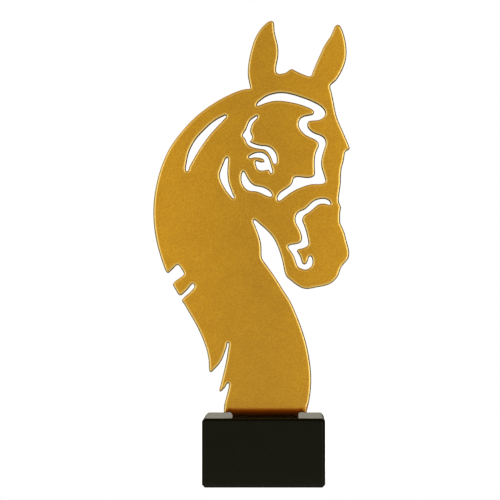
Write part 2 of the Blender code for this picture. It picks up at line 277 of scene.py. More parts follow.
@dataclass(frozen=True)
class GoldPowderCoat:
    """Satin powder coat in metallic gold: fine flakes in a faintly uneven skin.

    The tones follow the shape, and most of them are painted light. The flat sheet is lighter
    towards its outer sides, a painted sheen. Where its edges round off they have a pale rim
    first, a painted highlight, and then a dark line on the cut, a painted shade, by how squarely
    a surface faces the front or the back. Edges that face up have no painted highlight, and
    those that face LIT_WAY have no painted shade. The fold has a painted red-brown shade where
    it turns down. A Span holds the two values between which a tone comes or goes.
    """

    slot: str = "gold_coat"
    # The flat sheet.
    deep: Colour = (0.790, 0.362, 0.0001)
    bright: Colour = (1.000, 0.558, 0.0120)
    mottling: Span = (0.28, 0.72)
    flake_share: float = 0.90
    # A painted sheen: the sheet is darker in the middle and lighter towards its outer sides.
    middle: float = -0.0016
    middle_painted_shade: float = 0.84
    painted_sheen_reach: float = 0.055
    # The rounded edges, with a painted highlight and a painted shade. The foot behind the sheet has
    # none of their tones.
    # A painted highlight: the pale rim on the rounded edges.
    rim: Colour = (0.770, 0.535, 0.1300)
    painted_highlight_turns: Span = (0.996, 0.965)
    painted_highlight_fades_upward: Span = (0.120, 0.400)
    # A painted shade: the dark line laid on the cut edges that face away from LIT_WAY.
    cut: Colour = (0.050, 0.022, 0.0010)
    painted_shade_turns: Span = (0.850, 0.700)
    lit_way_turns: Span = (0.150, 0.800)
    foot_depths: Span = (-0.0076, -0.0068)
    # The fold's painted red-brown shade, by how far it faces down, below a height.
    painted_fold_shade: Colour = (0.870, 0.210, 0.0001)
    fold_shade_turns: Span = (-0.330, -0.010)
    fold_shade_height: float = 0.0425
    # The skin.
    metallic: float = 1.0
    roughness: Span = (0.38, 0.44)
    fold_shade_roughness: float = 0.53
    clear_coat: float = 1.0
    painted_shade_clear_coat: float = 0.05
    clear_coat_ior: float = 1.55
    clear_coat_roughness: float = 0.16
    flake_size: float = 0.0005
    flake_detail: float = 3.0
    flake_height: float = 0.35
    cloud_size: float = 0.0090
    skin_size: float = 0.0014
    skin_height: float = 0.000012

    def material(self) -> bpy.types.Material:
        """Make the material.

        Returns:
            The new material.
        """
        material, wiring, place = new_material("gold_powder_coat")
        shader = wiring.tree.nodes["Principled BSDF"]
        shader.inputs["Metallic"].default_value = self.metallic
        shader.inputs["Coat IOR"].default_value = self.clear_coat_ior
        shader.inputs["Coat Roughness"].default_value = self.clear_coat_roughness
        flakes = wiring.noise(place, self.flake_size, self.flake_detail)
        clouds = wiring.noise(place, self.cloud_size)
        across, depth, height = wiring.parts(place)
        sideways, forward, upward = wiring.parts(wiring.node("ShaderNodeTexCoord").outputs["Normal"])
        foot = wiring.ramp(depth, *self.foot_depths)
        flatness = wiring.sum(Sum.GREATER, wiring.sum(Sum.SIZE, forward), foot)
        lit_way = wiring.weighed(sideways, LIT_WAY[0], upward, LIT_WAY[1])
        # Edges that face the front or LIT_WAY are spared the painted shade, the dark line.
        free_of_painted_shade = wiring.sum(
            Sum.GREATER,
            wiring.ramp(flatness, *reversed(self.painted_shade_turns)),
            wiring.ramp(lit_way, *self.lit_way_turns),
        )
        # The pale rim, a painted highlight, leaves the flat sheet and the edges that face up.
        plain = wiring.sum(
            Sum.GREATER,
            wiring.ramp(flatness, *reversed(self.painted_highlight_turns)),
            wiring.ramp(upward, *self.painted_highlight_fades_upward),
        )
        # The fold's painted shade falls where it turns down, below a height.
        straight = wiring.sum(
            Sum.GREATER,
            wiring.ramp(upward, *self.fold_shade_turns),
            wiring.sum(Sum.MORE, height, self.fold_shade_height),
        )
        # The rounded edge's colour: painted shade, blending into painted highlight.
        edge = wiring.blend(free_of_painted_shade, self.cut, self.rim)
        sheet = wiring.blend(plain, edge, self.flat_gold(wiring, flakes, clouds, across))
        # The base colour: the fold's painted shade over the sheet.
        wiring.feed(shader.inputs["Base Color"], wiring.blend(straight, self.painted_fold_shade, sheet))
        # The clear coat is thinner where the painted shades lie, on the edges and the fold.
        coated = wiring.sum(Sum.LESSER, straight, free_of_painted_shade)
        wiring.feed(
            shader.inputs["Coat Weight"],
            wiring.between(coated, self.painted_shade_clear_coat, self.clear_coat),
        )
        least, most = self.roughness
        satin = wiring.sum(Sum.PLUS, wiring.sum(Sum.TIMES, clouds, most - least), least)
        wiring.feed(shader.inputs["Roughness"], wiring.between(straight, self.fold_shade_roughness, satin))
        skin = wiring.weighed(wiring.noise(place, self.skin_size), 1.0, flakes, self.flake_height)
        bump = wiring.node("ShaderNodeBump", {"Height": skin, "Distance": self.skin_height})
        wiring.feed(shader.inputs["Normal"], bump.outputs["Normal"])
        return material

    def flat_gold(self, wiring: Wiring, flakes: Value, clouds: Value, across: Value) -> Value:
        """Add the colour of the flat sheet, with a painted sheen: darker in the middle, lighter
        towards its outer sides.

        Args:
            wiring: the material's wiring.
            flakes: the output with the pattern of the flakes.
            clouds: the output with the pattern of the clouds.
            across: the output with the place across the sheet.

        Returns:
            The output with the colour.
        """
        mottle = wiring.weighed(flakes, self.flake_share, clouds, 1.0 - self.flake_share)
        flaked = wiring.blend(wiring.ramp(mottle, *self.mottling), self.deep, self.bright)
        # A painted sheen: the colour is scaled down towards the middle of the sheet.
        outward = wiring.sum(Sum.SIZE, wiring.sum(Sum.MINUS, across, self.middle))
        painted_sheen = wiring.ramp(outward, 0.0, self.painted_sheen_reach)
        painted_sheen_scale = {"Vector": flaked, "Scale": wiring.between(painted_sheen, self.middle_painted_shade, 1.0)}
        return wiring.node("ShaderNodeVectorMath", painted_sheen_scale, operation="SCALE").outputs["Vector"]


@dataclass(frozen=True)
class BlackStone:
    """Honed black stone: fine grey and olive crystals in a dense black ground.

    The chamfers are duller than the honed faces, and their darker colour is a painted shade.
    """

    slot: str = "black_stone"
    ground: Colour = (0.0057, 0.0060, 0.0042)
    crystal: Colour = (0.0200, 0.0195, 0.0140)
    # A painted shade: the darker colour of the chamfers.
    cut: Colour = (0.0036, 0.0030, 0.0010)
    honed_turns: Span = (0.78, 0.90)
    roughness: Span = (0.17, 0.23)
    cut_roughness: float = 0.36
    gloss: float = 0.12
    cut_gloss: float = 0.03
    tint: Colour = (1.00, 0.98, 0.66)
    grain_size: float = 0.0007
    grain_detail: float = 4.0
    grain_flecks: Span = (0.58, 0.74)
    vein_size: float = 0.0100
    vein_detail: float = 3.0
    vein_flecks: Span = (0.35, 0.65)
    pore_height: float = 0.000006

    def material(self) -> bpy.types.Material:
        """Make the material.

        Returns:
            The new material.
        """
        material, wiring, place = new_material("honed_black_stone")
        shader = wiring.tree.nodes["Principled BSDF"]
        shader.inputs["Specular Tint"].default_value = (*self.tint, 1.0)
        facing = wiring.parts(wiring.node("ShaderNodeTexCoord").outputs["Normal"])
        wide, deep, high = (wiring.sum(Sum.SIZE, part) for part in facing)
        squareness = wiring.sum(Sum.GREATER, wiring.sum(Sum.GREATER, wide, deep), high)
        honed = wiring.ramp(squareness, *self.honed_turns)
        wiring.feed(
            shader.inputs["Specular IOR Level"],
            wiring.between(honed, self.cut_gloss, self.gloss),
        )
        grain = wiring.noise(place, self.grain_size, self.grain_detail)
        veins = wiring.noise(place, self.vein_size, self.vein_detail)
        flecks = wiring.sum(
            Sum.TIMES,
            wiring.ramp(grain, *self.grain_flecks),
            wiring.ramp(veins, *self.vein_flecks),
        )
        stone = wiring.blend(flecks, self.ground, self.crystal)
        # The chamfers get the darker colour, a painted shade.
        wiring.feed(shader.inputs["Base Color"], wiring.blend(honed, self.cut, stone))
        least, most = self.roughness
        fine = wiring.sum(Sum.PLUS, wiring.sum(Sum.TIMES, veins, most - least), least)
        wiring.feed(shader.inputs["Roughness"], wiring.between(honed, self.cut_roughness, fine))
        bump = wiring.node("ShaderNodeBump", {"Height": grain, "Distance": self.pore_height})
        wiring.feed(shader.inputs["Normal"], bump.outputs["Normal"])
        return material


@dataclass(frozen=True)
class PaleTable:
    """The plain pale surface that the trophy stands on, with a glow that hides its end."""

    colour: Colour = (0.93, 0.93, 0.93)
    roughness: float = 0.60
    glow: float = 0.85

    def material(self) -> bpy.types.Material:
        """Make the material.

        Returns:
            The new material.
        """
        material = bpy.data.materials.new("pale_table")
        material.use_nodes = True
        shader = material.node_tree.nodes["Principled BSDF"]
        shader.inputs["Base Color"].default_value = (*self.colour, 1.0)
        shader.inputs["Roughness"].default_value = self.roughness
        shader.inputs["Emission Color"].default_value = (1.0, 1.0, 1.0, 1.0)
        shader.inputs["Emission Strength"].default_value = self.glow
        return material


def linked(name: str, data: bpy.types.ID) -> bpy.types.Object:
    """Put an object with this data in the scene.

    Args:
        name: the object's name.
        data: its mesh, lamp or camera.

    Returns:
        The object.
    """
    obj = bpy.data.objects.new(name, data)
    bpy.context.scene.collection.objects.link(obj)
    return obj


def in_order(edges: Iterable[tuple[int, int]]) -> Iterator[list[int]]:
    """Follow edges that share their ends, and give open lines first.

    Args:
        edges: pairs of corner numbers.

    Yields:
        The corner numbers along each line.
    """
    beside: dict[int, list[int]] = defaultdict(list)
    for first, second in edges:
        beside[first].append(second)
        beside[second].append(first)
    seen: set[int] = set()
    for start in sorted(beside, key=lambda corner: len(beside[corner])):
        if start in seen:
            continue
        line = [start]
        seen.add(start)
        while onward := [corner for corner in beside[line[-1]] if corner not in seen]:
            line.append(onward[0])
            seen.add(onward[0])
        yield line


def slopes_along(points: list[Vector], closed: bool) -> list[Vector]:
    """Find the way a smooth line runs at each of its points.

    Args:
        points: the line's points.
        closed: whether its last point leads back to its first.

    Returns:
        A direction for each point, with a length near 1.
    """
    line = [points[-1], *points, points[0]] if closed else points
    slopes = []
    for before, here, after in zip(line, line[1:], line[2:]):
        arriving = (here - before).length
        leaving = (after - here).length
        slope_in = (here - before) / arriving
        slope_out = (after - here) / leaving
        slopes.append((slope_in * leaving + slope_out * arriving) / (arriving + leaving))
    if closed:
        return slopes
    if not slopes:
        return [(points[1] - points[0]).normalized()] * 2
    first = 2 * (points[1] - points[0]).normalized() - slopes[0]
    last = 2 * (points[-1] - points[-2]).normalized() - slopes[-1]
    return [first, *slopes, last]


@dataclass
class Outline:
    """A closed line in the sheet's plane that keeps the steel on its left.

    From each point to the next one, the cut edge is rounded over a reach of its own.
    """

    points: list[Vector]
    reaches: list[float]
    corner_turn: ClassVar[float] = math.radians(36)
    step_length: ClassVar[float] = 0.0008
    step_turn: ClassVar[float] = math.radians(6)
    fan_turn: ClassVar[float] = math.radians(15)

    def area(self) -> float:
        """Measure the area inside.

        Returns:
            The area, below 0 where the line runs clockwise.
        """
        pairs = zip(self.points, self.points[1:] + self.points[:1])
        return sum(first.cross(second) for first, second in pairs) / 2

    def turned(self, clockwise: bool) -> "Outline":
        """Make the line run one way.

        Args:
            clockwise: the way that it is to run.

        Returns:
            The outline itself.
        """
        if (self.area() < 0) != clockwise:
            self.points.reverse()
            self.reaches.reverse()
        return self

    def turn_at(self, index: int) -> float:
        """Measure how far the line turns at a point.

        Args:
            index: the point's number.

        Returns:
            The turn to the left, in radians.
        """
        here = self.points[index]
        arriving = here - self.points[index - 1]
        leaving = self.points[(index + 1) % len(self.points)] - here
        return math.atan2(arriving.cross(leaving), arriving.dot(leaving))

    def drawn_finer(self) -> "Outline":
        """Draw the line again through the same points, with its curves smooth.

        Returns:
            A new outline that keeps the sharp corners.
        """
        count = len(self.points)
        corners = [i for i in range(count) if abs(self.turn_at(i)) > self.corner_turn]
        if not corners:
            fine = self.smooth(self.points, closed=True)
            return Outline(fine, [self.reaches[0]] * len(fine))
        fine: list[Vector] = []
        for start, end in zip(corners, corners[1:] + [corners[0] + count]):
            stroke = [self.points[i % count] for i in range(start, end + 1)]
            fine.extend(self.smooth(stroke, closed=False))
        return Outline(fine, [self.reaches[0]] * len(fine))

    @classmethod
    def smooth(cls, points: list[Vector], closed: bool) -> list[Vector]:
        """Draw a smooth line through points.

        Args:
            points: the points that it passes.
            closed: whether it leads back to its first point.

        Returns:
            Its finer points, without the last one of an open line.
        """
        slopes = slopes_along(points, closed)
        count = len(points)
        fine = []
        for i in range(count if closed else count - 1):
            start, end = points[i], points[(i + 1) % count]
            leaving, arriving = slopes[i], slopes[(i + 1) % count]
            length = (end - start).length
            turn = leaving.angle(arriving, 0.0)
            steps = max(1, math.ceil(length / cls.step_length), math.ceil(turn / cls.step_turn))
            for t in (k / steps for k in range(steps)):
                fine.append(
                    start * (2 * t**3 - 3 * t**2 + 1)
                    + leaving * (length * (t**3 - 2 * t**2 + t))
                    + end * (3 * t**2 - 2 * t**3)
                    + arriving * (length * (t**3 - t**2))
                )
        return fine

    def inward(self) -> Iterator[tuple[Vector, Vector, float]]:
        """Step along the line with the ways that lead straight into the steel.

        Yields:
            A point of the line, a direction and the reach there. A corner of a cut gives a fan
            of them, and a corner of the steel gives none.
        """
        for i, here in enumerate(self.points):
            turn = self.turn_at(i)
            if turn > self.fan_turn:
                continue
            arriving = (here - self.points[i - 1]).normalized()
            across = Vector((-arriving.y, arriving.x))
            if turn > -self.fan_turn:
                ways = [turn / 2]
            else:
                parts = math.ceil(-turn / self.fan_turn)
                ways = [turn * k / parts for k in range(parts + 1)]
            for angle in ways:
                cosine, sine = math.cos(angle), math.sin(angle)
                way = Vector((
                    across.x * cosine - across.y * sine,
                    across.x * sine + across.y * cosine,
                ))
                yield here, way, self.reaches[i]


@dataclass
class Drawing:
    """The whole flat sheet: its outer edge, its openings and the distances to them."""

    outlines: list[Outline]
    chunk: ClassVar[int] = 400
    shortest: ClassVar[float] = 1e-18

    def __post_init__(self) -> None:
        """List the straight steps of all edges."""
        starts, ends, reaches = [], [], []
        for outline in self.outlines:
            starts.extend(outline.points)
            ends.extend(outline.points[1:] + outline.points[:1])
            reaches.extend(outline.reaches)
        self.starts = np.array([tuple(point) for point in starts])
        self.ends = np.array([tuple(point) for point in ends])
        self.reaches = np.array(reaches)

    def depths(self, places: np.ndarray) -> np.ndarray:
        """Measure how far inside the cut edges places are, a chunk of them at a time.

        Args:
            places: one place a row.

        Returns:
            The distance to the nearest edge as a share of that edge's reach, for each place.
        """
        steps = self.ends - self.starts
        lengths = np.maximum((steps**2).sum(1), self.shortest)
        nearest = []
        for first in range(0, len(places), self.chunk):
            offsets = places[first:first + self.chunk, None, :] - self.starts[None]
            share = np.clip((offsets * steps).sum(2) / lengths, 0.0, 1.0)
            gaps = offsets - share[..., None] * steps
            nearest.append((np.sqrt((gaps**2).sum(2)) / self.reaches).min(1))
        return np.concatenate(nearest)

    def covers(self, places: np.ndarray) -> np.ndarray:
        """Tell which places lie on steel, a chunk of them at a time.

        Args:
            places: one place a row.

        Returns:
            True or False for each place.
        """
        low, high = self.starts[:, 1], self.ends[:, 1]
        rise = np.where(high == low, 1.0, high - low)
        lean = (self.ends[:, 0] - self.starts[:, 0]) / rise
        covered = []
        for first in range(0, len(places), self.chunk):
            across, height = np.hsplit(places[first:first + self.chunk], 2)
            crossed = (low > height) != (high > height)
            crossed &= across < self.starts[:, 0] + (height - low) * lean
            covered.append(crossed.sum(1) % 2 == 1)
        return np.concatenate(covered)


class FoldRule:
    """Folds a flat tab back round a radius, as a Geometry Nodes tree with named sizes."""

    name = "Fold the foot"
    sizes = (
        "Tab Middle",
        "Front Plane",
        "Fold Height",
        "Outside Radius",
        "Sheet Thickness",
        "Half Tab Width",
        "Shoulder Fade",
        "Drop Fade",
    )

    def tree(self) -> bpy.types.NodeTree:
        """Build the tree.

        Returns:
            The new tree.
        """
        tree = bpy.data.node_groups.new(self.name, "GeometryNodeTree")
        sockets = tree.interface
        sockets.new_socket("Geometry", in_out="INPUT", socket_type="NodeSocketGeometry")
        for size in self.sizes:
            sockets.new_socket(size, in_out="INPUT", socket_type="NodeSocketFloat")
        sockets.new_socket("Finish", in_out="INPUT", socket_type="NodeSocketMaterial")
        sockets.new_socket("Geometry", in_out="OUTPUT", socket_type="NodeSocketGeometry")
        wiring = Wiring(tree)
        given = wiring.node("NodeGroupInput").outputs
        moved = wiring.node(
            "GeometryNodeSetPosition",
            {"Geometry": given["Geometry"], "Position": self.folded_place(wiring, given)},
        )
        dressed = wiring.node(
            "GeometryNodeSetMaterial",
            {"Geometry": moved.outputs[0], "Material": given["Finish"]},
        )
        wiring.node("NodeGroupOutput", {"Geometry": dressed.outputs[0]})
        return tree

    def folded_place(self, wiring: Wiring, given: bpy.types.bpy_prop_collection) -> Value:
        """Work out where a point lies once the tab is folded.

        Args:
            wiring: the tree's wiring.
            given: the outputs with the tree's named sizes.

        Returns:
            The output with the new place.
        """
        place = wiring.node("GeometryNodeInputPosition").outputs[0]
        x, y, z = wiring.parts(place)
        depth = wiring.sum(Sum.MINUS, y, given["Front Plane"])
        half_sheet = wiring.sum(Sum.TIMES, given["Sheet Thickness"], 0.5)
        middle = wiring.sum(Sum.MINUS, given["Outside Radius"], half_sheet)
        arc = wiring.sum(Sum.TIMES, middle, math.pi / 2)
        below = wiring.sum(Sum.GREATER, wiring.sum(Sum.MINUS, given["Fold Height"], z), 0.0)
        angle = wiring.sum(Sum.SHARE, wiring.sum(Sum.LESSER, below, arc), middle)
        radius = wiring.sum(Sum.MINUS, given["Outside Radius"], depth)
        past = wiring.sum(Sum.GREATER, wiring.sum(Sum.MINUS, below, arc), 0.0)
        back = wiring.sum(
            Sum.MINUS,
            wiring.sum(Sum.PLUS, given["Outside Radius"], past),
            wiring.sum(Sum.TIMES, radius, wiring.sum(Sum.COSINE, angle)),
        )
        drop = wiring.sum(Sum.TIMES, radius, wiring.sum(Sum.SINE, angle))
        level = wiring.sum(Sum.GREATER, z, given["Fold Height"])
        across = wiring.sum(Sum.SIZE, wiring.sum(Sum.MINUS, x, given["Tab Middle"]))
        outside = wiring.sum(Sum.MINUS, across, given["Half Tab Width"])
        upright = wiring.ramp(wiring.sum(Sum.SHARE, outside, given["Shoulder Fade"]), 0.0, 1.0)
        undropped = wiring.ramp(wiring.sum(Sum.SHARE, outside, given["Drop Fade"]), 0.0, 1.0)
        bent = {
            "X": x,
            "Y": wiring.between(upright, wiring.sum(Sum.PLUS, given["Front Plane"], back), y),
            "Z": wiring.between(undropped, wiring.sum(Sum.MINUS, level, drop), z),
        }
        return wiring.node("ShaderNodeCombineXYZ", bent).outputs[0]

    def applied(self, flat: bpy.types.Object, sizes: dict[str, Value]) -> bpy.types.Mesh:
        """Fold a flat sheet.

        Args:
            flat: the object with the flat sheet.
            sizes: what each named input of the tree gets.

        Returns:
            The folded mesh.
        """
        tree = self.tree()
        modifier = flat.modifiers.new(self.name, "NODES")
        modifier.node_group = tree
        for socket in tree.interface.items_tree:
            if socket.in_out == "INPUT" and socket.name in sizes:
                modifier[socket.identifier] = sizes[socket.name]
        bpy.context.view_layer.update()
        evaluated = flat.evaluated_get(bpy.context.evaluated_depsgraph_get())
        mesh = bpy.data.meshes.new_from_object(evaluated)
        flat.modifiers.remove(modifier)
        return mesh


@dataclass
class HorsePlate:
    """The horse's head, cut from one sheet, coated, and folded back at its foot."""

    node: str = "horse_plate"
    finish: GoldPowderCoat = field(default_factory=GoldPowderCoat)
    sheet_thickness: float = 0.0030
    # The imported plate's cut edges, as they are read from its mesh.
    rim_setback: float = 0.0004
    rim_tolerance: float = 2e-5
    weld_distance: float = 2e-6
    join_distance: float = 1e-8
    # The rounding of the edges, and the rings of points that it is drawn with.
    edge_depth: float = 0.0012
    back_edge_share: float = 0.35
    edge_reach: float = 0.0017
    foot_edge_reach: float = 0.0006
    edge_turns: tuple[float, ...] = (78.0, 64.0, 50.0, 37.0, 25.0, 12.0, 0.0)
    flat_margin: float = 0.18
    ring_slack: float = 0.012
    # The fold and the lines that it bends along.
    fold_radius: float = 0.0050
    fold_rows: int = 14
    fold_grain: float = 0.0012
    row_margin: float = 0.0003
    row_overhang: float = 0.0010
    shoulder_columns: int = 12
    glue_line: float = 0.0003
    # The flat tab.
    tab_middle: float = 0.0007
    tab_width: float = 0.03584
    shoulder_width: float = 0.0042
    shoulder_lift: float = 0.00228
    shoulder_fade: float = 0.0040
    drop_fade: float = 0.0010
    foot_length: float = 0.02412
    foot_corner: float = 0.00412
    corner_steps: int = 12
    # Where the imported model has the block's top and the plate's front.
    block_top: float = field(default_factory=lambda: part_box("base_block")[1].z)
    front: float = field(default_factory=lambda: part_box("horse_plate")[0].y)

    @property
    def fold_height(self) -> float:
        """Where the fold begins."""
        return self.block_top + self.glue_line + self.fold_radius

    @property
    def fold_arc(self) -> float:
        """How much of the flat sheet goes round the fold."""
        return (self.fold_radius - self.sheet_thickness / 2) * math.pi / 2

    @property
    def root_height(self) -> float:
        """Where a shoulder meets the flat tab, so that its underside is level once folded."""
        drop = self.fold_height - self.block_top - self.shoulder_lift
        turn = math.asin(drop / (self.fold_radius - self.edge_depth))
        return self.fold_height - (self.fold_radius - self.sheet_thickness / 2) * turn

    def rims(self) -> list[list[Vector]]:
        """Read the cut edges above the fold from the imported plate.

        Returns:
            Lines of points across and up, with the open outer one first.
        """
        shape = bmesh.new()
        shape.from_mesh(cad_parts[self.node].data)
        bmesh.ops.remove_doubles(shape, verts=shape.verts, dist=self.weld_distance)
        plane = self.front + self.rim_setback
        lowest = self.fold_height - self.rim_tolerance
        rim = {
            vert.index: Vector((vert.co.x, vert.co.z))
            for vert in shape.verts
            if abs(vert.co.y - plane) < self.rim_tolerance and vert.co.z > lowest
        }
        edges = [tuple(vert.index for vert in edge.verts) for edge in shape.edges]
        shape.free()
        on_rim = [edge for edge in edges if edge[0] in rim and edge[1] in rim]
        return [[rim[index] for index in line] for line in in_order(on_rim)]

    def tab(self) -> list[Vector]:
        """Draw the flat tab from the left shoulder down and round to the right one.

        Returns:
            Its points, a step apart.
        """
        half = self.tab_width / 2
        inner = half - self.foot_corner
        shoulder = self.block_top + self.shoulder_lift
        end = self.fold_height - self.fold_arc - (self.foot_length - self.fold_radius)
        centre = Vector((inner, end + self.foot_corner))
        right = [Vector((inner, end))]
        for k in range(1, self.corner_steps + 1):
            angle = math.pi / 2 * (k / self.corner_steps - 1)
            way = Vector((math.cos(angle), math.sin(angle)))
            right.append(centre + self.foot_corner * way)
        right.append(Vector((half, self.root_height)))
        right.append(Vector((half + self.drop_fade, shoulder)))
        right.append(Vector((half + self.shoulder_width, shoulder)))
        left = [Vector((-point.x, point.y)) for point in reversed(right)]
        corners = [point + Vector((self.tab_middle, 0.0)) for point in left + right]
        line = []
        for start, stop in zip(corners, corners[1:]):
            steps = max(1, round((stop - start).length / Outline.step_length))
            line.extend(start.lerp(stop, k / steps) for k in range(steps))
        return [*line, corners[-1]]

    def drawing(self) -> Drawing:
        """Draw the whole flat sheet finely.

        Returns:
            The drawing.
        """
        outer, *openings = self.rims()
        if outer[0].x < outer[-1].x:
            outer.reverse()
        head = [*Outline.smooth(outer, closed=False), outer[-1]]
        tab = self.tab()
        reaches = [self.edge_reach] * len(head) + [self.foot_edge_reach] * (len(tab) - 1)
        outlines = [Outline(head + tab, [*reaches, self.edge_reach])]
        for opening in openings:
            outline = Outline(opening, [self.edge_reach] * len(opening))
            outlines.append(outline.turned(clockwise=True).drawn_finer())
        return Drawing(outlines)

    def sunk(self, depth: np.ndarray) -> np.ndarray:
        """Work out how far the rounded edge falls back from the front.

        Args:
            depth: how far inside the edge each point is, as a share of the edge's reach.

        Returns:
            The distance for each point.
        """
        short = 1.0 - np.clip(depth, 0.0, 1.0)
        return self.edge_depth * (1.0 - np.sqrt(1.0 - short**2))

    def ring_depths(self) -> list[float]:
        """Work out how deep inside an edge the rings of points lie that follow it.

        Returns:
            The depths, as shares of the edge's reach.
        """
        depths = [1 - math.sin(math.radians(turn)) for turn in self.edge_turns]
        return [*depths, 1.0 + self.flat_margin]

    def points_and_lines(self, drawing: Drawing) -> tuple[list[Vector], list[tuple[int, int]]]:
        """List what the flat mesh is drawn through.

        Args:
            drawing: the flat sheet.

        Returns:
            The points, and the pairs of them that an edge has to join.
        """
        points: list[Vector] = []
        lines: list[tuple[int, int]] = []
        longest = 3 * Outline.step_length
        for outline in drawing.outlines:
            first, count = len(points), len(outline.points)
            points.extend(outline.points)
            lines.extend((first + i, first + (i + 1) % count) for i in range(count))
        for outline in drawing.outlines:
            steps = list(outline.inward())
            for depth in self.ring_depths():
                ring = [point + way * reach * depth for point, way, reach in steps]
                places = np.array([tuple(point) for point in ring])
                clear = drawing.depths(places) > depth - self.ring_slack
                numbers = []
                for point, kept in zip(ring, clear):
                    numbers.append(len(points) if kept else None)
                    if kept:
                        points.append(point)
                for one, other in zip(numbers, numbers[1:] + numbers[:1]):
                    if one is None or other is None or one == other:
                        continue
                    if (points[one] - points[other]).length < longest:
                        lines.append((one, other))
        for start, end in self.fold_lines():
            parts = max(1, round((end - start).length / self.fold_grain))
            first = len(points)
            points.extend(start.lerp(end, k / parts) for k in range(parts + 1))
            lines.extend((first + k, first + k + 1) for k in range(parts))
        return points, lines

    def fold_lines(self) -> Iterator[tuple[Vector, Vector]]:
        """Cut the flat tab in rows where it bends, and in columns where the fold fades.

        Yields:
            The start and the end of each straight line.
        """
        half = self.tab_width / 2
        reach = half + self.shoulder_width + self.row_overhang
        top, arc = self.fold_height, self.fold_arc
        rows = [top - arc * k / self.fold_rows for k in range(self.fold_rows + 1)]
        for height in [top + self.row_margin, *rows, rows[-1] - self.row_margin]:
            yield Vector((self.tab_middle - reach, height)), Vector((self.tab_middle + reach, height))
        for side in Side:
            for k in range(self.shoulder_columns):
                outward = half + self.shoulder_width * k / self.shoulder_columns
                across = self.tab_middle + side.value * outward
                yield Vector((across, top)), Vector((across, self.block_top))

    def flat_sheet(self) -> bpy.types.Object:
        """Make the flat sheet with rounded edges, standing upright.

        Returns:
            An object with a closed mesh.
        """
        drawing = self.drawing()
        points, lines = self.points_and_lines(drawing)
        log.info("drawn through %d points", len(points))
        scaled = [point * MILLIMETRES for point in points]
        join = self.join_distance * MILLIMETRES
        places, _, faces, *_ = delaunay_2d_cdt(scaled, lines, [], 0, join, False)
        flat = np.array([tuple(place) for place in places]) / MILLIMETRES
        faces = np.array(faces)
        faces = faces[drawing.covers(flat[faces].mean(1))]
        sunk = self.sunk(drawing.depths(flat))
        front_points = np.column_stack((flat[:, 0], self.front + sunk, flat[:, 1]))
        back_points = front_points.copy()
        back_points[:, 1] = self.front + self.sheet_thickness - sunk * self.back_edge_share
        count = len(flat)
        sides = {(face[k - 1], face[k]) for face in faces.tolist() for k in range(3)}
        walls = [[b, a, a + count, b + count] for a, b in sides if (b, a) not in sides]
        mesh = bpy.data.meshes.new(self.node)
        mesh.from_pydata(
            np.concatenate((front_points, back_points)).tolist(),
            [],
            faces.tolist() + (faces[:, ::-1] + count).tolist() + walls,
        )
        shape = bmesh.new()
        shape.from_mesh(mesh)
        bmesh.ops.delete(shape, geom=[v for v in shape.verts if not v.link_faces], context="VERTS")
        bmesh.ops.recalc_face_normals(shape, faces=shape.faces)
        shape.to_mesh(mesh)
        shape.free()
        mesh.shade_smooth()
        return linked("flat_sheet", mesh)

    def build(self) -> bpy.types.Object:
        """Make the coated and folded head.

        Returns:
            The finished piece.
        """
        flat = self.flat_sheet()
        sizes = {
            "Tab Middle": self.tab_middle,
            "Front Plane": self.front,
            "Fold Height": self.fold_height,
            "Outside Radius": self.fold_radius,
            "Sheet Thickness": self.sheet_thickness,
            "Half Tab Width": self.tab_width / 2,
            "Shoulder Fade": self.shoulder_fade,
            "Drop Fade": self.drop_fade,
            "Finish": self.finish.material(),
        }
        mesh = FoldRule().applied(flat, sizes)
        bpy.data.objects.remove(flat, do_unlink=True)
        piece = linked("horse_head", mesh)
        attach(piece, "root")
        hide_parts(self.node)
        return piece


@dataclass
class StoneBlock:
    """The black stone block, chamfered on every edge, with its arrises eased."""

    node: str = "base_block"
    finish: BlackStone = field(default_factory=BlackStone)
    chamfer: float = 0.0015
    arris: float = 0.00025
    arris_steps: int = 3

    def build(self) -> bpy.types.Object:
        """Make the block.

        Returns:
            The finished piece.
        """
        low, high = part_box(self.node)
        shape = bmesh.new()
        bmesh.ops.create_cube(shape, size=1.0)
        for vert in shape.verts:
            for axis in range(3):
                vert.co[axis] = high[axis] if vert.co[axis] > 0 else low[axis]
        for width, segments in ((self.chamfer, 1), (self.arris, self.arris_steps)):
            bmesh.ops.bevel(
                shape,
                geom=list(shape.edges),
                offset=width,
                offset_type="OFFSET",
                segments=segments,
                profile=0.5,
                affect="EDGES",
            )
        bmesh.ops.recalc_face_normals(shape, faces=shape.faces)
        for face in shape.faces:
            face.smooth = face.calc_area() < self.chamfer**2
        mesh = bpy.data.meshes.new("stone_block")
        shape.to_mesh(mesh)
        shape.free()
        mesh.materials.append(self.finish.material())
        piece = linked("stone_block", mesh)
        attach(piece, "root")
        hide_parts(self.node)
        return piece


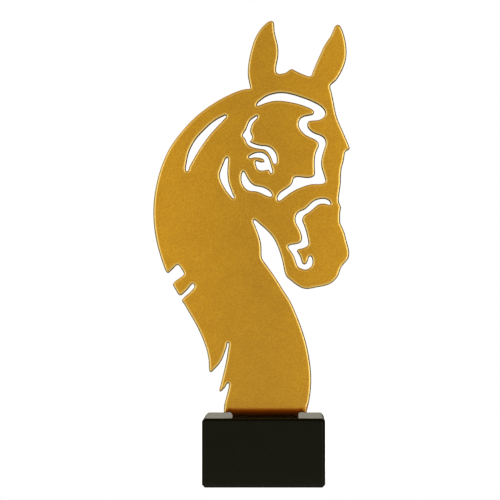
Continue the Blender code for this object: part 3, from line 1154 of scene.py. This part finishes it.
@dataclass
class Studio:
    """The pale table, the soft lamps, the surroundings and the camera.

    The surroundings are bright at the sides and dimmer in front, round the camera. Behind
    lies a bright backdrop, with a ring round it that is dark low down and on the right, and
    gives the edges that face there their dark line. A Span holds the two parts of a way along
    one axis between which one level changes to the next.
    """

    table_reach: float = 0.50
    table_front: float = 0.03
    # The lamps.
    lamp_width: float = 0.16
    lamp_height: float = 0.70
    lamp_distance: float = 0.65
    lamp_bearing: float = 50.0
    lamp_level: float = 0.20
    lamp_aim: float = 0.12
    lamp_power: float = 0.8
    lean: float = 0.18
    # The surroundings.
    tone: Colour = (1.00, 0.93, 0.77)
    side_level: float = 0.80
    low_level: float = 0.78
    high_level: float = 0.74
    high_ways: Span = (0.25, 0.65)
    front_level: float = 0.40
    low_front_level: float = 0.58
    front_ways: Span = (0.84, 0.975)
    front_climb: Span = (-0.20, 0.10)
    ring_ways: Span = (0.12, 0.45)
    dark_ring_level: float = 0.03
    lit_ring_level: float = 0.55
    lit_ways: Span = (0.28, 0.82)
    backdrop_level: float = 0.62
    backdrop_ways: Span = (0.70, 0.92)
    backdrop_climb: Span = (-0.05, 0.03)
    # The camera.
    camera_place: tuple[float, float, float] = (0.0113, -0.9010, 0.1078)
    camera_shift: tuple[float, float] = (-0.0701, 0.0661)
    camera_lens: float = 120.3
    sensor_width: float = 36.0
    clip_span: Span = (0.01, 60.0)

    def table(self) -> None:
        """Make the pale surface below the trophy."""
        far, near = self.table_reach, -self.table_front
        corners = [(-far, near, 0.0), (far, near, 0.0), (far, far, 0.0), (-far, far, 0.0)]
        mesh = bpy.data.meshes.new("table")
        mesh.from_pydata(corners, [], [(0, 1, 2, 3)])
        mesh.materials.append(PaleTable().material())
        linked("table", mesh)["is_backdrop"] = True

    def lamp(self, name: str, bearing: float, level: float, power: float) -> None:
        """Stand a tall soft lamp round the trophy.

        Args:
            name: the lamp's name.
            bearing: how far round to the right of the camera it stands, in degrees.
            level: how high its middle is.
            power: its power in watts.
        """
        light = bpy.data.lights.new(name, "AREA")
        light.shape = "RECTANGLE"
        light.size = self.lamp_width
        light.size_y = self.lamp_height
        light.energy = power
        lamp = linked(name, light)
        lamp.visible_camera = False
        angle = math.radians(bearing)
        place = Vector((math.sin(angle), -math.cos(angle), 0.0)) * self.lamp_distance
        place.z = level
        lamp.location = place
        aim = Vector((0.0, 0.0, self.lamp_aim)) - place
        lamp.rotation_euler = aim.to_track_quat("-Z", "Y").to_euler()

    def surroundings(self) -> None:
        """Make the surroundings, which the camera itself sees as plain white."""
        world = bpy.data.worlds.new("studio")
        bpy.context.scene.world = world
        world.use_nodes = True
        wiring = Wiring(world.node_tree)
        wiring.tree.nodes.clear()
        way = wiring.node("ShaderNodeTexCoord").outputs["Generated"]
        soft = wiring.node("ShaderNodeBackground", {"Color": (*self.tone, 1.0)})
        wiring.feed(soft.inputs["Strength"], self.level(wiring, way))
        plain = wiring.node("ShaderNodeBackground", {"Color": (1.0, 1.0, 1.0, 1.0), "Strength": 1.0})
        mixed = wiring.node("ShaderNodeMixShader")
        seen = wiring.node("ShaderNodeLightPath").outputs["Is Camera Ray"]
        for index, value in enumerate((seen, soft.outputs[0], plain.outputs[0])):
            wiring.feed(mixed.inputs[index], value)
        wiring.node("ShaderNodeOutputWorld", {"Surface": mixed.outputs[0]})

    def level(self, wiring: Wiring, way: Value) -> Value:
        """Work out how bright the surroundings are.

        Args:
            wiring: the world's wiring.
            way: the output with the way from the trophy.

        Returns:
            The output with the level.
        """
        across, inward, upward = wiring.parts(way)
        ahead = wiring.sum(Sum.TIMES, inward, -1.0)
        downward = wiring.sum(Sum.TIMES, upward, -1.0)
        side = wiring.between(
            wiring.ramp(upward, *self.high_ways),
            wiring.between(
                wiring.ramp(downward, *self.high_ways),
                self.side_level,
                self.low_level,
            ),
            self.high_level,
        )
        leaning = wiring.sum(Sum.PLUS, wiring.sum(Sum.TIMES, across, self.lean), 1.0)
        front = wiring.between(
            wiring.ramp(ahead, *self.front_ways),
            wiring.sum(Sum.TIMES, side, leaning),
            wiring.between(
                wiring.ramp(upward, *self.front_climb),
                self.low_front_level,
                self.front_level,
            ),
        )
        backdrop = wiring.sum(
            Sum.TIMES,
            wiring.ramp(inward, *self.backdrop_ways),
            wiring.ramp(upward, *self.backdrop_climb),
        )
        ring = wiring.between(
            wiring.ramp(wiring.weighed(across, LIT_WAY[0], upward, LIT_WAY[1]), *self.lit_ways),
            self.dark_ring_level,
            self.lit_ring_level,
        )
        back = wiring.sum(Sum.GREATER, wiring.sum(Sum.TIMES, backdrop, self.backdrop_level), ring)
        return wiring.between(wiring.ramp(ahead, *self.ring_ways), back, front)

    def camera(self) -> None:
        """Stand the camera where the photograph was taken."""
        data = bpy.data.cameras.new("camera")
        data.lens = self.camera_lens
        data.sensor_width = self.sensor_width
        data.shift_x, data.shift_y = self.camera_shift
        data.clip_start, data.clip_end = self.clip_span
        camera = linked("camera", data)
        camera.location = self.camera_place
        camera.rotation_euler = (math.pi / 2, 0.0, 0.0)
        bpy.context.scene.camera = camera

    def build(self) -> None:
        """Set up the whole studio."""
        self.camera()
        self.table()
        for side in Side:
            name = f"lamp_{side.name.lower()}"
            power = self.lamp_power * (1.0 + self.lean * side.value)
            self.lamp(name, side.value * self.lamp_bearing, self.lamp_level, power)
        self.surroundings()
        bpy.context.scene.view_settings.view_transform = "Standard"


def write_sizes() -> None:
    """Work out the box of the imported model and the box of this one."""
    boxes = {"cad": cad_box, "visual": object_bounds()}
    plain = {name: [list(corner) for corner in box] for name, box in boxes.items()}


def main() -> None:
    """Build the studio and the trophy, and report each piece."""
    logging.basicConfig(level=logging.INFO, format="%(message)s")
    Studio().build()
    for assembly in (HorsePlate(), StoneBlock()):
        piece = assembly.build()
        piece.data.calc_loop_triangles()
        log.info("%s: %d triangles", piece.name, len(piece.data.loop_triangles))
    write_sizes()


if __name__ == "__main__":
    main()
